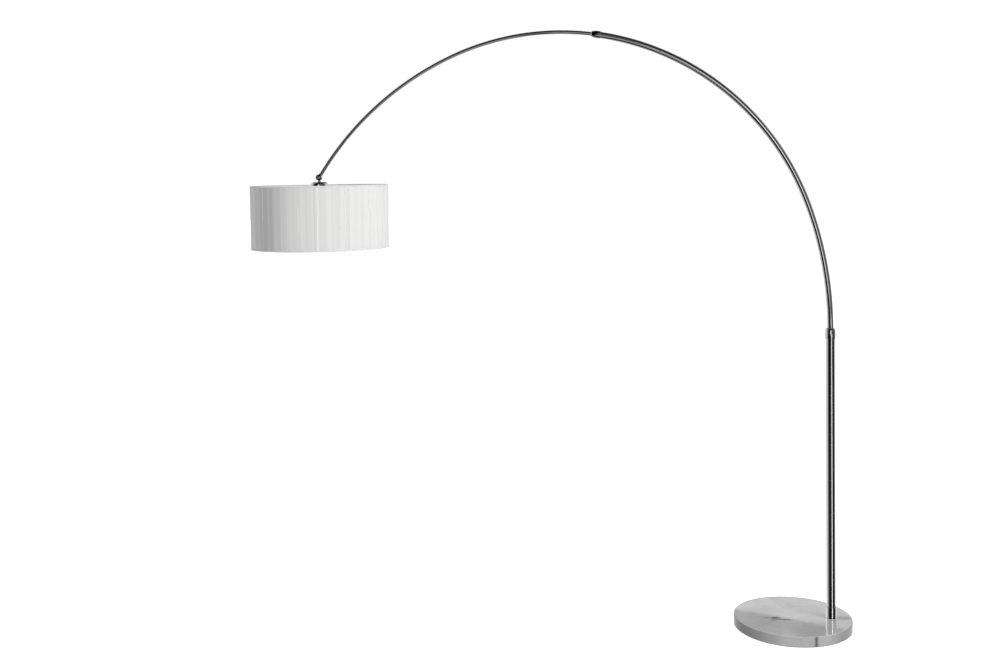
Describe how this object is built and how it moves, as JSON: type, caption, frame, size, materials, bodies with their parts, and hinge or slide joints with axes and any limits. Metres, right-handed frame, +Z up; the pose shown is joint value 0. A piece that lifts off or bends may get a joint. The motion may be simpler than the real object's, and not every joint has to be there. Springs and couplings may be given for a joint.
{
  "type": "arc floor lamp",
  "caption": "Arc floor lamp with a round marble foot, chrome post, telescoping curved arm and a large drum shade hanging from a tilting knuckle.",
  "frame": {"origin": "centre of the round foot, on the floor", "axes": "+Z up along the post; the arm reaches towards -X in the plane Y = 0; the post stands at X = +0.129 m"},
  "size_m": [2.1179, 0.5018, 2.0834],
  "materials": {
    "marble": "polished",
    "felt": "matte",
    "chrome": "polished",
    "zinc": "satin",
    "nylon": "satin",
    "black_rubber": "matte",
    "black_plastic": "satin",
    "porcelain": "satin",
    "brass": "satin",
    "white_wire": "satin",
    "white_laminate": "satin",
    "white_thread": "matte",
    "white_tape": "matte",
    "opal_glass": "satin"
  },
  "bodies": {
    "stand": {"marble_base": "marble", "base_felt": "felt", "anchor_stud": "zinc", "anchor_washer": "zinc", "anchor_spring_washer": "zinc", "anchor_nut": "zinc", "cord_grommet": "black_rubber", "post_foot_plug": "zinc", "post_tube": "chrome", "foot_collar": "chrome", "post_top_collar": "chrome", "post_collar_screw": "zinc"},
    "swivel": {"post_guide_bush": "nylon"},
    "arm": {"arm_tube": "chrome", "arm_foot_glide": "nylon", "arm_end_collar": "chrome", "arm_collar_screw": "zinc", "rod_guide_bush": "nylon"},
    "rod": {"rod_tube": "chrome", "rod_inner_glide": "nylon", "knuckle_upper": "chrome", "knuckle_screw": "chrome", "knuckle_friction_washer": "nylon", "knuckle_nut": "chrome"},
    "shade_head": {"knuckle_lower": "chrome", "canopy_cap": "chrome", "canopy_nut": "zinc", "lampholder_cap": "black_plastic", "lampholder_skirt": "black_plastic", "terminal_block": "porcelain", "screw_shell": "brass", "centre_contact": "brass", "shade_ring_nut": "black_plastic", "bulb_glass": "opal_glass", "bulb_screw_cap": "zinc", "bulb_contact": "porcelain", "shade_top_frame": "white_wire", "shade_bottom_ring": "white_wire", "shade_liner": "white_laminate", "shade_thread_wrap": "white_thread", "shade_top_trim": "white_tape", "shade_bottom_trim": "white_tape", "shade_seam_strip": "white_tape"}
  },
  "joints": [
    {"name": "arm_swivel", "type": "hinge", "parent": "stand", "child": "swivel", "pos_m": [0.129, 0, 1], "axis": [0, 0, 1], "range_deg": [-170, 170]},
    {"name": "arm_height", "type": "slide", "parent": "swivel", "child": "arm", "axis": [0, 0, 1], "range_m": [0, 0.2]},
    {"name": "arm_extend", "type": "hinge", "parent": "arm", "child": "rod", "pos_m": [-0.80902, 0, 1.15951], "axis": [0, -1, 0], "range_deg": [-25, 12]},
    {"name": "shade_tilt", "type": "hinge", "parent": "rod", "child": "shade_head", "pos_m": [-1.667, 0, 1.58], "axis": [0, 1, 0], "range_deg": [-35, 35]}
  ]
}
